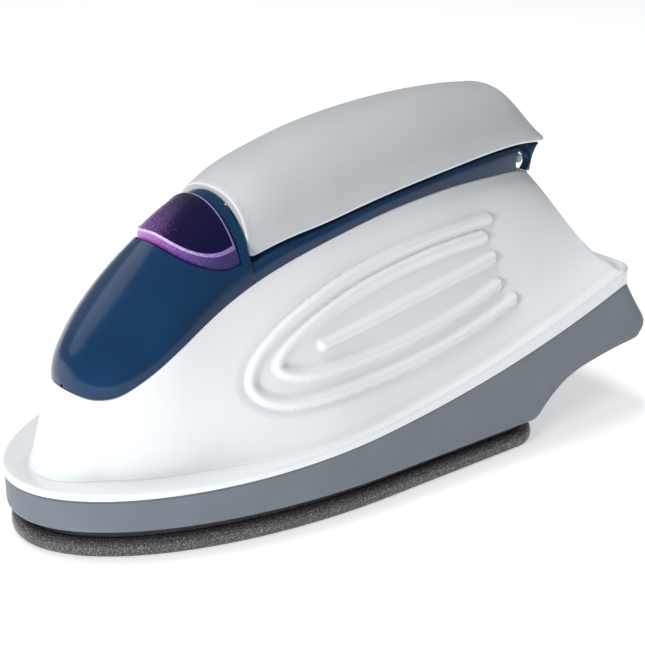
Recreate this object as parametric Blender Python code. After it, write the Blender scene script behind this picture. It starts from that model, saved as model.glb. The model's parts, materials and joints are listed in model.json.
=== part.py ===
"""Compact palm-grip clothes iron, modelled as the separate pieces it comes apart into.

Frame: +Z up, nose towards -X, heel towards +X. The soleplate rests on Z = 0 and the origin is
under the middle of the iron's outer box. Inside this file lengths are millimetres, and a place
along the iron is a station, counted backwards from just ahead of the nose. at() turns a station,
a side distance and a height into metres in the part's frame. The near side has y < 0.
"""
import math

import bmesh
import bpy
from mathutils import Matrix, Vector

MM = 0.001

# Driving dimensions, millimetres ---------------------------------------------------------------
NOSE = 0.6                  # station of the rim's nose
HEEL = 203.0                # station of the back of the heel
MIDDLE = (NOSE + HEEL) / 2
HALF_WIDTH = 44.8           # skirt, at its shoulder
SHOULDER = 94.5             # station where the pointed front becomes parallel sides
GAP = 0.3                   # clearance between pieces that touch

SOLE_NOSE = 2.0
SOLE_HEEL = 158.5
SOLE_CORNER = 12.0
SOLE_HALF = 44.0
SOLE_RIM_TOP = 5.0          # top of the visible edge, below the dark groove
SOLE_TOP = 9.5              # top of the core that carries the element
SOLE_CORE_INSET = 3.4
SOLE_CORE_TAIL = 142.5
ELEMENT_RADIUS = 3.2

SKIRT_BOTTOM = 8.0
SKIRT_WALL = 2.4
SKIRT_STATIONS = (SHOULDER, 108, 122, 136, 148, 152, 153.6, 156, 159.5, 165, 171, 178, 184)
# Rings of the skirt, lowest first: (share of its height, rearmost station, corner radius)
SKIRT_RINGS = ((0.0, 201.2, 5.5), (0.06, 202.5, 6.0), (0.17, 203.0, 6.2), (0.36, 201.4, 6.3),
               (0.68, 197.5, 6.4), (1.0, 193.4, 6.6))

FLANGE_HALF = 45.2          # white rim on top of the skirt
FLANGE_TAIL = 193.8
FLANGE_CORNER = 7.0
RIM_LEVEL = 187.5           # station behind which the rim runs level
RIM_NOSE = 2.0              # rim height at the nose and at the heel
RIM_HEEL = 5.0
SHELL_WALL = 2.2

KEY_BACK = 62.5             # D-shaped key in the hood: straight back edge, round front
KEY_REACH = 15.2            # from the back edge forwards
KEY_HALF_SPAN = 19.0        # from the ridge to each pointed tip
KEY_ROUND = 2.6
KEY_CENTRE = 54.0
KEY_HEIGHT = 80.4
KEY_TILT = math.radians(24)
KEY_PROUD = 1.4
KEY_DEPTH = 6.0
KEY_WALL = 1.6
STEM_FORWARD = -1.5         # along the key's own axes, from its middle
LAMP_FORWARD = -9.3

BALL = (176.8, 0.0, 77.6)   # cord swivel: station, side, height
BALL_RADIUS = 4.1
PIN_RADIUS = 1.4

# Underside of the skirt behind the soleplate, rising to the heel: (station, height)
HEEL_RISE = [(151, 8.0), (152, 8.0), (153.6, 8.6), (156, 10.9), (159.5, 14.0), (165, 17.5), (171, 19.7),
             (178, 21.1), (186.5, 22.4), (196, 23.4), (201, 24.4)]

# Heights and half widths along the iron: (station, value)
EDGE_Z = [(17, 41.5), (20, 40.8), (24.5, 42), (30.5, 46), (42.5, 54), (57.5, 62), (73.5, 67.5),
          (100.5, 73), (122.5, 76), (144.5, 77), (170.5, 75.5), (181, 73)]
EDGE_HALF = [(43, 21.6), (80, 19.8), (112, 18.4), (133, 17.4), (158, 15), (172, 12.4), (181, 10.2),
             (184, 10.8)]
EDGE_NOSE = 17.0
EDGE_SHOULDER = 43.0
EDGE_TAIL = 181.0
RIDGE_Z = [(17, 43.0), (18.5, 49.0), (21.5, 53.0), (25, 56.4), (29, 60.0), (34, 64.4), (40, 69.6),
           (47, 75.4), (57, 82.4), (67, 87.2)]
GRIP_FRONT = 66.5
GRIP_TAIL = 184.0
GRIP_LOW = [(66, 71), (78, 74.3), (92, 76.5), (112, 80), (133, 82.6), (154, 84.2), (170, 84.2), (184, 82.5)]
GRIP_HALF = [(66, 17.3), (80, 18.6), (112, 19.3), (140, 18.6), (160, 16.6), (175, 14.2), (184, 12.6)]
GRIP_TOP = [(66, 88), (73, 92), (83, 95.4), (98, 99.1), (115, 101.5), (133, 102.7), (150, 102.7),
            (163, 101.8), (171, 99.8), (184, 85.4)]
GRIP_STATIONS = [GRIP_FRONT, 70, 76, 84, 95, 107, 120, 133, 146, 158, 166, 171, 176, 180, GRIP_TAIL]
GRIP_ROUND = 2.3            # superellipse exponent of the grip's section
HOOD_ROUND = 1.95
HOOD_PLAN = 2.15            # superellipse exponent of the hood's nose seen from above
DECK_ROUND = 6.0


# Curves ----------------------------------------------------------------------------------------
def at(station, side, height):
    """A point in metres, from millimetres along the iron."""
    return Vector(((station - MIDDLE) * MM, side * MM, height * MM))


def value(keys, station):
    """Smooth curve through (station, value) pairs, held level past both ends."""
    if station <= keys[0][0]:
        return keys[0][1]
    for i in range(len(keys) - 1):
        (s0, v0), (s1, v1) = keys[i], keys[i + 1]
        if station <= s1:
            before = keys[max(i - 1, 0)]
            after = keys[min(i + 2, len(keys) - 1)]
            span = s1 - s0
            t = (station - s0) / span
            slope0 = (v1 - before[1]) / (s1 - before[0]) * span
            slope1 = (after[1] - v0) / (after[0] - s0) * span
            return ((2 * t ** 3 - 3 * t ** 2 + 1) * v0 + (t ** 3 - 2 * t ** 2 + t) * slope0
                    + (3 * t ** 2 - 2 * t ** 3) * v1 + (t ** 3 - t ** 2) * slope1)
    return keys[-1][1]


def ramp(x, start, end):
    """0 before start, 1 after end, smooth between."""
    t = min(max((x - start) / (end - start), 0.0), 1.0)
    return t * t * (3 - 2 * t)


def rim_line(station):
    """Height of the joint between skirt and rim, which sweeps up to the heel and runs level behind it."""
    return 17.5 + 9.9 * ((min(station, RIM_LEVEL) + 12.0) / 143.0) ** 2.85


def rim_height(station):
    return RIM_NOSE + (RIM_HEEL - RIM_NOSE) * ramp(station, 60, 190)


def ledge_width(station):
    """Width of the step between the rim and the foot of the body."""
    front = 7.0 + 2.5 * ramp(station, 2, 14) - 6.1 * ramp(station, 38, 84)
    return front - 0.4 * ramp(station, 140, 186) + 1.4 * ramp(station, 187, 193)


def half_plan(nose, tail, half, corner, stations=None, quarter=14, side=6, bend=5):
    """Near half of an iron's outline, nose to tail: quarter ellipse, straight side, rear corner."""
    if stations is None:
        stations = [SHOULDER + (tail - corner - SHOULDER) * i / side for i in range(side)]
    points = []
    for i in range(quarter):
        angle = math.pi / 2 * i / quarter
        points.append((SHOULDER - (SHOULDER - nose) * math.cos(angle), -half * math.sin(angle)))
    points += [(station, -half) for station in stations]
    for i in range(bend + 1):
        angle = math.pi / 2 * i / bend
        points.append((tail - corner + corner * math.sin(angle), -half + corner * (1 - math.cos(angle))))
    return points


def edge_half(station):
    """Half width of the seam between body and hood."""
    if station < EDGE_SHOULDER:
        reach = (EDGE_SHOULDER - station) / (EDGE_SHOULDER - EDGE_NOSE)
        return EDGE_HALF[0][1] * max(1 - reach ** HOOD_PLAN, 0.0) ** (1 / HOOD_PLAN)
    return value(EDGE_HALF, station)


# Mesh tools ------------------------------------------------------------------------------------
def material(name, colour, roughness, metallic=0.0):
    made = bpy.data.materials.new(name)
    made.use_nodes = True
    shader = made.node_tree.nodes["Principled BSDF"]
    shader.inputs["Base Color"].default_value = (*colour, 1.0)
    shader.inputs["Roughness"].default_value = roughness
    shader.inputs["Metallic"].default_value = metallic
    made.diffuse_color = (*colour, 1.0)
    return made


def new_object(name, mesh_data, finish=None, smooth=35):
    mesh = bpy.data.meshes.new(name)
    mesh_data.to_mesh(mesh)
    mesh_data.free()
    piece = bpy.data.objects.new(name, mesh)
    bpy.context.collection.objects.link(piece)
    if finish is not None:
        mesh.materials.append(finish)
    if smooth:
        mesh.shade_smooth()
        mesh.set_sharp_from_angle(angle=math.radians(smooth))
    return piece


def tidy(mesh_data):
    bmesh.ops.remove_doubles(mesh_data, verts=mesh_data.verts, dist=0.00001)
    bmesh.ops.dissolve_degenerate(mesh_data, edges=mesh_data.edges, dist=0.00001)
    bmesh.ops.recalc_face_normals(mesh_data, faces=mesh_data.faces)


def loft(name, levels, finish=None, smooth=35):
    """Closed solid through near-side half rings, mirrored to the far side, capped at both ends."""
    work = bmesh.new()
    rings = []
    for level in levels:
        near = [work.verts.new(at(s, y, z)) for s, y, z in level]
        far = [work.verts.new(at(s, -y, z)) for s, y, z in level]
        rings.append(near + far[::-1])
    count = len(rings[0])
    for low, high in zip(rings, rings[1:]):
        for i in range(count):
            j = (i + 1) % count
            work.faces.new((low[i], low[j], high[j], high[i]))
    for ring in (rings[0], rings[-1]):
        for i in range(count // 2 - 1):
            work.faces.new((ring[i], ring[i + 1], ring[count - 2 - i], ring[count - 1 - i]))
    tidy(work)
    return new_object(name, work, finish, smooth)


def plate(name, half_points, low, high, finish=None):
    """Flat plate with an iron-shaped outline between two heights."""
    return loft(name, [[(s, y, low) for s, y in half_points], [(s, y, high) for s, y in half_points]], finish)


def box(name, centre, size, finish=None):
    work = bmesh.new()
    bmesh.ops.create_cube(work, size=1.0)
    bmesh.ops.scale(work, vec=Vector(size) * MM, verts=work.verts)
    bmesh.ops.translate(work, vec=at(*centre), verts=work.verts)
    return new_object(name, work, finish, 0)


def turned(name, base, direction, profile, finish=None, sides=16, smooth=35):
    """Solid of revolution. profile lists (distance along direction, radius); radius 0 closes it."""
    axis = Vector(direction).normalized()
    spin = Vector((0, 0, 1)).rotation_difference(axis).to_matrix().to_4x4()
    place = Matrix.Translation(at(*base)) @ spin
    work = bmesh.new()
    rings = []
    for reach, radius in profile:
        if radius == 0:
            rings.append([work.verts.new((0, 0, reach * MM))])
            continue
        ring = []
        for i in range(sides):
            angle = 2 * math.pi * i / sides
            spot = (radius * MM * math.cos(angle), radius * MM * math.sin(angle), reach * MM)
            ring.append(work.verts.new(spot))
        rings.append(ring)
    for low, high in zip(rings, rings[1:]):
        for i in range(sides):
            j = (i + 1) % sides
            corners = [low[i % len(low)], low[j % len(low)], high[j % len(high)], high[i % len(high)]]
            work.faces.new(list(dict.fromkeys(corners)))
    for ring in (rings[0], rings[-1]):
        if len(ring) > 1:
            work.faces.new(ring)
    bmesh.ops.transform(work, matrix=place, verts=work.verts)
    bmesh.ops.recalc_face_normals(work, faces=work.faces)
    return new_object(name, work, finish, smooth)


def rod(name, base, direction, length, radius, finish=None, sides=16):
    return turned(name, base, direction, [(0, radius), (length, radius)], finish, sides)


def tube(name, path, radius, finish=None, sides=8):
    """Round solid along a path of metre points, with flat ends."""
    work = bmesh.new()
    rings = []
    count = len(path)
    side = Vector((0, 1, 0))
    for i, point in enumerate(path):
        along = (path[min(i + 1, count - 1)] - path[max(i - 1, 0)]).normalized()
        side = (side - along * side.dot(along)).normalized()
        across = along.cross(side)
        ring = []
        for k in range(sides):
            angle = 2 * math.pi * k / sides
            away = side * math.cos(angle) + across * math.sin(angle)
            ring.append(work.verts.new(point + away * radius * MM))
        rings.append(ring)
    for low, high in zip(rings, rings[1:]):
        for k in range(sides):
            n = (k + 1) % sides
            work.faces.new((low[k], low[n], high[n], high[k]))
    work.faces.new(rings[0])
    work.faces.new(rings[-1])
    bmesh.ops.recalc_face_normals(work, faces=work.faces)
    return new_object(name, work, finish, 60)


def smooth_path(points, steps):
    """Catmull-Rom curve through (station, side, height) points, as metre points."""
    knots = [at(*p) for p in points]
    path = []
    for i in range(len(knots) - 1):
        a = knots[max(i - 1, 0)]
        b, c = knots[i], knots[i + 1]
        d = knots[min(i + 2, len(knots) - 1)]
        for k in range(steps):
            t = k / steps
            path.append(0.5 * ((2 * b) + (c - a) * t + (2 * a - 5 * b + 4 * c - d) * t * t
                               + (3 * b - a - 3 * c + d) * t ** 3))
    path.append(knots[-1])
    return path


def combine(piece, tool, operation):
    """Boolean a helper solid into a piece, apply it and remove the helper."""
    step = piece.modifiers.new(operation.lower(), "BOOLEAN")
    step.operation = operation
    step.solver = "EXACT"
    step.object = tool
    graph = bpy.context.evaluated_depsgraph_get()
    result = bpy.data.meshes.new_from_object(piece.evaluated_get(graph), depsgraph=graph)
    piece.modifiers.remove(step)
    finishes = list(piece.data.materials)
    result.materials.clear()
    for finish in finishes:
        result.materials.append(finish)
    old = piece.data
    piece.data = result
    result.name = piece.name
    bpy.data.meshes.remove(old)
    bpy.data.objects.remove(tool)
    work = bmesh.new()
    work.from_mesh(result)
    bmesh.ops.remove_doubles(work, verts=work.verts, dist=0.000005)
    bmesh.ops.dissolve_degenerate(work, edges=work.edges, dist=0.000005)
    for face in work.faces:
        face.material_index = 0
    work.to_mesh(result)
    work.free()
    result.shade_smooth()
    result.set_sharp_from_angle(angle=math.radians(35))
    return piece


def cut(piece, tool):
    return combine(piece, tool, "DIFFERENCE")


def join(piece, tool):
    return combine(piece, tool, "UNION")


# Outer pieces ----------------------------------------------------------------------------------
def element_path():
    """Centre line of the U-shaped element: from one terminal round the nose to the other."""
    leg = [(143.6, 15), (139, 15), (127, 21.5), (110, 25), (90, 25), (66, 21), (46, 13.5), (33, 5.5)]
    points = [(s, -y, SOLE_TOP) for s, y in leg] + [(29.5, 0, SOLE_TOP)]
    points += [(s, y, SOLE_TOP) for s, y in leg[::-1]]
    return smooth_path(points, 2)


def make_soleplate(finish):
    def outline(inset):
        return half_plan(SOLE_NOSE + inset, SOLE_HEEL - inset, SOLE_HALF - inset, SOLE_CORNER - inset)

    core = half_plan(SOLE_NOSE + SOLE_CORE_INSET + 1, SOLE_CORE_TAIL, SOLE_HALF - SOLE_CORE_INSET, 8)
    levels = [
        [(s, y, 0.0) for s, y in outline(1.0)],
        [(s, y, 0.8) for s, y in outline(0.0)],
        [(s, y, SOLE_RIM_TOP - 0.6) for s, y in outline(0.0)],
        [(s, y, SOLE_RIM_TOP) for s, y in outline(0.6)],
        [(s, y, SOLE_RIM_TOP) for s, y in core],
        [(s, y, SOLE_TOP) for s, y in core],
    ]
    sole = loft("soleplate", levels, finish)
    return cut(sole, tube("element_channel", element_path(), ELEMENT_RADIUS + GAP, None, 8))


def make_skirt(finish):
    def rings(inset, underside):
        made = []
        for share, tail, corner in SKIRT_RINGS:
            plan = half_plan(NOSE + 0.4 + inset, tail - inset, HALF_WIDTH - inset, corner - inset,
                             SKIRT_STATIONS)
            made.append([(s, y, underside(s) + (rim_line(s) - underside(s)) * share) for s, y in plan])
        return made

    def below(station):
        return value(HEEL_RISE, station)

    def floor(station):
        return -9.0 if station < 152.5 else below(station) + SKIRT_WALL

    skirt = loft("skirt", rings(0.0, below), finish)
    inside = rings(SKIRT_WALL, floor)
    inside.append([(s, y, z + 6) for s, y, z in inside[-1]])
    return cut(skirt, loft("skirt_inside", inside))


def inset_half(points, amount):
    """Half outline moved inwards by amount(station) along its own normals."""
    moved = []
    for i, (s, y) in enumerate(points):
        before = points[i - 1] if i else (s, -points[1][1])
        after = points[i + 1] if i + 1 < len(points) else (s, -y)
        along = Vector((after[0] - before[0], after[1] - before[1])).normalized()
        step = amount(s)
        moved.append((s - along.y * step, min(y + along.x * step, 0.0)))
    return moved


def body_outlines(inset):
    """Half outlines of the rim, of the foot of the body and of its seam with the hood."""
    rim = half_plan(NOSE, FLANGE_TAIL, FLANGE_HALF, FLANGE_CORNER)
    foot = inset_half(rim, lambda s: ledge_width(s) + inset)
    side_count = 14 + 6
    tail = foot[side_count][0]
    seam = []
    for i, (s, y) in enumerate(foot):
        if i <= side_count:
            reach = (s - foot[0][0]) / (tail - foot[0][0])
            station = EDGE_NOSE + inset + (EDGE_TAIL - 2.5 - EDGE_NOSE - inset) * reach
            seam.append((station, -max(edge_half(station - inset) - inset, 0.0)))
        else:
            turn = (i - side_count) / 5 * math.pi / 2
            half = edge_half(EDGE_TAIL) - inset
            back = EDGE_TAIL - 2.5 + (2.5 - inset) * math.sin(turn)
            seam.append((back, -half + 2.5 * (1 - math.cos(turn))))
    return rim, foot, seam


def make_body(finish):
    def sides(inset, steps):
        rim, foot, seam = body_outlines(inset)
        rings = []
        for k in range(steps + 1):
            t = k / steps
            ring = []
            for i, ((fs, fy), (es, ey)) in enumerate(zip(foot, seam)):
                rear = ramp(i, 18, 24)
                fz = rim_line(fs) + GAP + rim_height(fs)
                ez = value(EDGE_Z, es) - GAP / 2
                start = Vector((fs, fy, fz))
                end = Vector((es, ey, ez))
                across = Vector((es - fs, ey - fy, 0))
                rise = Vector((0, 0, ez - fz))
                first = start + across * (0.34 + 0.26 * rear) + rise * (0.22 - 0.07 * rear)
                second = end - across * (0.5 - 0.45 * rear) - rise * (0.35 + 0.1 * rear)
                point = (start * (1 - t) ** 3 + first * 3 * t * (1 - t) ** 2
                         + second * 3 * t * t * (1 - t) + end * t ** 3)
                ring.append(tuple(point))
            rings.append(ring)
        return rim, rings

    rim, rings = sides(0.0, 7)
    low = [(s, y, rim_line(s) + GAP) for s, y in rim]
    high = [(s, y, rim_line(s) + GAP + rim_height(s)) for s, y in rim]
    body = loft("body_shell", [low, high] + rings, finish)

    rim, rings = sides(SHELL_WALL, 6)
    bottom = [(s, y, rim_line(s) - 6) for s, y, z in rings[0]]
    lid = [(s, y, z + 4) for s, y, z in rings[-1]]
    return cut(body, loft("body_inside", [bottom] + rings + [lid]))


def section(half, low, high, power, steps):
    """Near half of a superellipse section, from its lower edge to the ridge: (side, height)."""
    points = []
    for k in range(steps + 1):
        angle = math.pi / 2 * k / steps
        across = -half * math.cos(angle) ** (2 / power)
        points.append((across, low + (high - low) * math.sin(angle) ** (2 / power)))
    return points


def section_loft(name, stations, shape, steps, finish=None):
    """Closed solid whose section at each station is shape(station) = (half, low, high, power)."""
    levels = [[] for _ in range(steps + 1)]
    for station in stations:
        for level, (y, z) in zip(levels, section(*shape(station), steps)):
            level.append((station, y, z))
    return loft(name, levels, finish)


def hood_shape(station):
    """Section of the hood and of the deck behind it, which carries the grip."""
    low = value(EDGE_Z, station) + GAP / 2
    if station < GRIP_FRONT - 0.5:
        return edge_half(station), low, value(RIDGE_Z, station), HOOD_ROUND
    deck = value(GRIP_LOW, station) - 2 * GAP
    overhang = max(station - EDGE_TAIL + 0.5, 0.0) / (GRIP_TAIL - EDGE_TAIL)
    return edge_half(station), low + (deck - low) * min(overhang, 0.93) ** 0.6, deck, DECK_ROUND


def hood_top(station, side):
    half, low, high, power = hood_shape(station)
    return low + (high - low) * (1 - min(abs(side) / half, 1.0) ** power) ** (1 / power)


KEY_NORMAL = Vector((-math.sin(KEY_TILT), 0, math.cos(KEY_TILT)))


def key_block(name, margin, top, bottom, finish=None):
    """D-shaped block in line with the key's travel; top and bottom are mm along its normal."""
    across = 14
    along = 4
    span = KEY_HALF_SPAN + margin
    work = bmesh.new()
    sheets = []
    for lift in (bottom, top):
        sheet = []
        for i in range(across + 1):
            side = span * math.sin(math.pi / 2 * (2 * i / across - 1))
            ratio = min(abs(side) / span, 1.0)
            back = KEY_BACK + margin
            front = back - (KEY_REACH + 2 * margin) * (1 - ratio ** KEY_ROUND) ** (1 / KEY_ROUND)
            row = []
            for k in range(along + 1):
                station = front + (back - front) * k / along
                point = at(station, side, hood_top(station, side))
                row.append(work.verts.new(point + KEY_NORMAL * lift * MM))
            sheet.append(row)
        sheets.append(sheet)
    low, high = sheets
    for sheet in (low, high):
        for i in range(across):
            for k in range(along):
                work.faces.new((sheet[i][k], sheet[i + 1][k], sheet[i + 1][k + 1], sheet[i][k + 1]))
    border = ([(i, 0) for i in range(across)] + [(across, k) for k in range(along)]
              + [(i, along) for i in range(across, 0, -1)] + [(0, k) for k in range(along, 0, -1)])
    for (i, k), (n, m) in zip(border, border[1:] + border[:1]):
        work.faces.new((low[i][k], low[n][m], high[n][m], high[i][k]))
    tidy(work)
    return new_object(name, work, finish)


def key_point(forward, side, along):
    """Station, side and height of a point given along the key's own axes (mm from its middle)."""
    station = KEY_CENTRE + forward * math.cos(KEY_TILT) - along * math.sin(KEY_TILT)
    height = KEY_HEIGHT + forward * math.sin(KEY_TILT) + along * math.cos(KEY_TILT)
    return (station, side, height)


def make_hood(finish):
    nose = [EDGE_NOSE + 30 * (1 - math.cos(math.pi / 2 * i / 11)) for i in range(11)]
    front = nose + [47, 52, 57, 62, GRIP_FRONT - 0.8]
    deck = [GRIP_FRONT - 0.4] + GRIP_STATIONS[1:-1] + [181.5, 182.6, 183.4]
    hood = section_loft("hood", front + deck, hood_shape, 8, finish)

    def inside(station):
        half, low, high, power = hood_shape(station)
        return max(half - 2.0, 0.2), low - 3, high - 2.0, power

    hollow = [EDGE_NOSE + 2.4, 21, 25, 31, 39, 47, 56, GRIP_FRONT - 3.2]
    hood = cut(hood, section_loft("hood_inside", hollow, inside, 7))
    deep = [GRIP_FRONT + 1.4] + [GRIP_FRONT + 14 * i for i in range(1, 7)] + [165, 170]
    hood = cut(hood, section_loft("deck_inside", deep, inside, 5))
    hood = cut(hood, box("hood_passage", (GRIP_FRONT - 1, 0, 66), (10, 20, 8)))
    hood = cut(hood, key_block("key_opening", 0.35, 6, -9))
    for side in (-1, 1):
        rim = (BALL[0], side * 14.0, BALL[2])
        hood = cut(hood, turned("tail_dish", rim, (0, -side, 0), [(0, 5.0), (5.2, 3.4)]))
    hood = cut(hood, ball("ball_seat", BALL_RADIUS + GAP, None))
    hood = cut(hood, rod("cord_mouth", BALL, (1, 0, -0.25), 14, 3.6))
    hood = cut(hood, rod("pin_hole", (BALL[0], -20, BALL[2]), (0, 1, 0), 40, PIN_RADIUS + GAP, None, 12))
    for station in (88, 150):
        hood = cut(hood, rod("screw_hole", (station, 0, 60), (0, 0, 1), 40, 1.9))
    return hood


def ball(name, radius, finish):
    profile = [(radius * (1 - math.cos(math.pi * i / 10)), radius * math.sin(math.pi * i / 10) if 0 < i < 10 else 0)
               for i in range(11)]
    station, side, height = BALL
    return turned(name, (station, side, height - radius), (0, 0, 1), profile, finish, 18)


def make_grip(finish):
    def shape(station):
        return value(GRIP_HALF, station), value(GRIP_LOW, station), value(GRIP_TOP, station), GRIP_ROUND

    def inside(station):
        half, low, high, power = shape(max(station, GRIP_FRONT))
        return half - 2.0, low - 5, high - 2.0, power

    grip = section_loft("grip_cap", GRIP_STATIONS, shape, 8, finish)
    hollow = [GRIP_FRONT - 3, 71, 77, 86] + [96 + 12 * i for i in range(6)] + [164, 170, 176, 179.5]
    grip = cut(grip, section_loft("grip_inside", hollow, inside, 6))
    for station in (88, 150):
        low = value(GRIP_LOW, station)
        rise = value(GRIP_TOP, station) - low - 1
        grip = join(grip, rod("grip_boss", (station, 0, low), (0, 0, 1), rise, 3.4, None, 12))
        grip = cut(grip, rod("boss_hole", (station, 0, low - 2), (0, 0, 1), 12, 1.9, None, 12))
    return grip


# Key, switch and lamp --------------------------------------------------------------------------
def set_origin(piece, point):
    """Moves a piece's origin to a metre point without moving its mesh."""
    piece.data.transform(Matrix.Translation(-point))
    piece.location = point


def make_key(finish):
    key = key_block("power_key", 0.0, KEY_PROUD, -KEY_DEPTH, finish)
    key = cut(key, key_block("key_inside", -KEY_WALL, KEY_PROUD - KEY_WALL, -KEY_DEPTH - 4))
    key = join(key, rod("key_stem", key_point(STEM_FORWARD, 0, -12.0), KEY_NORMAL, 11.8, 2.2, None, 14))
    return key


def make_switch(plastic, steel, glass):
    housing = box("switch_body", key_point(STEM_FORWARD, 0, -20.4), (9, 12, 10), plastic)
    centre = at(*key_point(STEM_FORWARD, 0, -20.4))
    tilt = Matrix.Translation(centre) @ Matrix.Rotation(-KEY_TILT, 4, "Y") @ Matrix.Translation(-centre)
    housing.data.transform(tilt)
    cut(housing, rod("plunger_bore", key_point(STEM_FORWARD, 0, -20), KEY_NORMAL, 10, 2.4, None, 14))
    rod("switch_plunger", key_point(STEM_FORWARD, 0, -17.5), KEY_NORMAL, 5.2, 2.0, steel, 14)
    turned("pilot_lamp", key_point(LAMP_FORWARD, 0, -20), KEY_NORMAL,
           [(0, 2.2), (7.5, 2.2), (9.0, 1.7), (9.8, 0.9), (10.0, 0)], glass, 12)
    rod("lamp_holder", key_point(LAMP_FORWARD, 0, -26), KEY_NORMAL, 5.7, 3.0, plastic, 12)


def make_spring(finish):
    turns = 4.5
    steps = 10
    start = at(*key_point(STEM_FORWARD, 0, -14.2))
    along = KEY_NORMAL
    side = Vector((0, 1, 0))
    across = along.cross(side)
    total = int(turns * steps)
    path = []
    for i in range(total + 1):
        angle = 2 * math.pi * i / steps
        rise = 12.6 * i / total
        away = side * math.cos(angle) + across * math.sin(angle)
        path.append(start + along * rise * MM + away * 3.6 * MM)
    return tube("key_spring", path, 0.4, finish, 5)


# Heater and thermostat -------------------------------------------------------------------------
def make_heater(steel, ceramic, brass):
    tube("heating_element", element_path(), ELEMENT_RADIUS, steel, 8)
    for name, side in (("left", -1), ("right", 1)):
        base = (145.0, side * 15, SOLE_TOP)
        out = (1, 0, 0)
        bush = turned("element_bush_" + name, base, out,
                      [(0, 2.9), (2.6, 2.9), (2.6, 2.0), (3.8, 2.0)], ceramic, 12)
        cut(bush, rod("pin_hole", (140, base[1], base[2]), out, 20, 1.2, None, 10))
        rod("element_pin_" + name, (base[0] + 0.4, base[1], base[2]), out, 6.2, 0.9, brass, 10)


def make_thermostat(steel, ceramic, brass):
    box("thermostat_foot", (82, 0, SOLE_TOP + GAP + 0.5), (30, 12, 1.0), steel)
    low = SOLE_TOP + GAP + 1.0 + GAP
    box("thermostat_stack", (91, 0, low + 4), (9, 9, 8), ceramic)
    box("bimetal_strip", (80, 0, low + 8 + GAP + 0.4), (31, 7, 0.8), brass)
    box("stack_spacer", (91, 0, low + 8 + 2 * GAP + 0.8 + 2), (8, 8, 4), ceramic)
    box("contact_blade", (80, 0, low + 12 + 3 * GAP + 0.8 + 0.3), (31, 6, 0.6), brass)
    turned("calibration_screw", (70, 0, low + 12 + 3 * GAP + 1.4 + GAP), (0, 0, 1),
           [(0, 1.4), (7, 1.4), (7, 2.8), (9.4, 2.8)], steel, 12)


STUDS = (("front", 50, 0), ("left", 124, -14), ("right", 124, 14))
SHIELD_Z = 17.0


def make_shield(finish, steel):
    shield = plate("heat_shield", half_plan(16, 140, 33, 8), SHIELD_Z, SHIELD_Z + 0.8, finish)
    shield = cut(shield, box("thermostat_window", (82, 0, SHIELD_Z), (40, 18, 6)))
    for name, station, side in STUDS:
        shield = cut(shield, rod("stud_hole", (station, side, 10), (0, 0, 1), 20, 1.9, None, 12))
        base = SOLE_TOP + GAP
        turned("shield_stud_" + name, (station, side, base), (0, 0, 1),
               [(0, 3.2), (SHIELD_Z - base - GAP, 3.2), (SHIELD_Z - base - GAP, 1.5), (12.2, 1.5)], steel, 12)
        nut = rod("shield_nut_" + name, (station, side, SHIELD_Z + 0.8 + GAP), (0, 0, 1), 2.4, 3.1, steel, 6)
        cut(nut, rod("nut_hole", (station, side, 10), (0, 0, 1), 30, 1.8, None, 12))


# Wiring and cord entry -------------------------------------------------------------------------
def make_wiring(plastic, steel, brass, insulation):
    block = box("terminal_block", (148, 0, 52), (11, 28, 9), plastic)
    for index, side in enumerate((-9, 0, 9)):
        block = cut(block, rod("screw_well", (148, side, 50), (0, 0, 1), 12, 2.3, None, 12))
        turned("terminal_screw_%d" % (index + 1), (148, side, 50.4), (0, 0, 1),
               [(0, 1.2), (3, 1.2), (3, 1.9), (5, 1.9)], brass, 12)
    clamp = box("cord_clamp", (164, 0, 63), (7, 20, 3), plastic)
    cut(clamp, rod("clamp_groove", (150, 0, 60.6), (1, 0, 0), 30, 2.9, None, 14))
    for name, side in (("left", -1), ("right", 1)):
        turned("clamp_screw_" + name, (164, side * 7.3, 64.8), (0, 0, 1),
               [(0, 2.4), (1.6, 2.4), (2.0, 1.6)], steel, 12)
    turned("thermal_fuse", (110, 0, SHIELD_Z + 4.0), (1, 0, 0),
           [(0, 1.6), (1, 2.0), (10, 2.0), (11, 1.6)], steel, 12)
    box("fuse_clip", (115.5, 0, SHIELD_Z + 0.8 + GAP + 0.3), (8, 9, 0.6), steel)
    box("earth_tab", (146.5, 0, SOLE_TOP + GAP + 0.4), (4.5, 6, 0.8), brass)
    tube("lead_live", smooth_path([(141.9, 9, 53), (130, 9, 56), (105, 6, 58), (85, 4, 57), (72, 3, 56)], 3),
         0.9, insulation, 6)
    tube("lead_neutral", smooth_path([(154.8, -9, 52), (158, -12, 45), (157, -15, 32), (152, -15.4, 20),
                                      (150.4, -15, SOLE_TOP + 1.4)], 3), 0.9, insulation, 6)
    tube("lead_load", smooth_path([(70, -3, 55), (84, -9, 46), (96, -11, 36), (101, -8, 29), (99, -2, 26.5)], 3),
         0.9, insulation, 6)


def make_swivel(finish, steel):
    turned("swivel_pin", (BALL[0], -9.6, BALL[2]), (0, 1, 0),
           [(0, 0.9), (0.5, PIN_RADIUS), (18.7, PIN_RADIUS), (19.2, 0.9)], steel, 12)
    swivel = ball("cord_swivel", BALL_RADIUS, finish)
    swivel = cut(swivel, rod("pin_hole", (BALL[0], -20, BALL[2]), (0, 1, 0), 40, PIN_RADIUS + GAP, None, 12))
    return cut(swivel, rod("cord_bore", (BALL[0] + 2.0, 0, BALL[2] - 0.5), (1, 0, -0.25), 12, 2.2, None, 12))


def make_grip_screws(steel):
    for name, station in (("front", 88), ("rear", 150)):
        deck = value(GRIP_LOW, station) - 2 * GAP
        head = deck - 3.0 - GAP - 2.4
        turned("grip_screw_" + name, (station, 0, head), (0, 0, 1),
               [(0, 3.0), (2.4, 3.0), (2.4, 1.5), (13, 1.5)], steel, 12)


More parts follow.
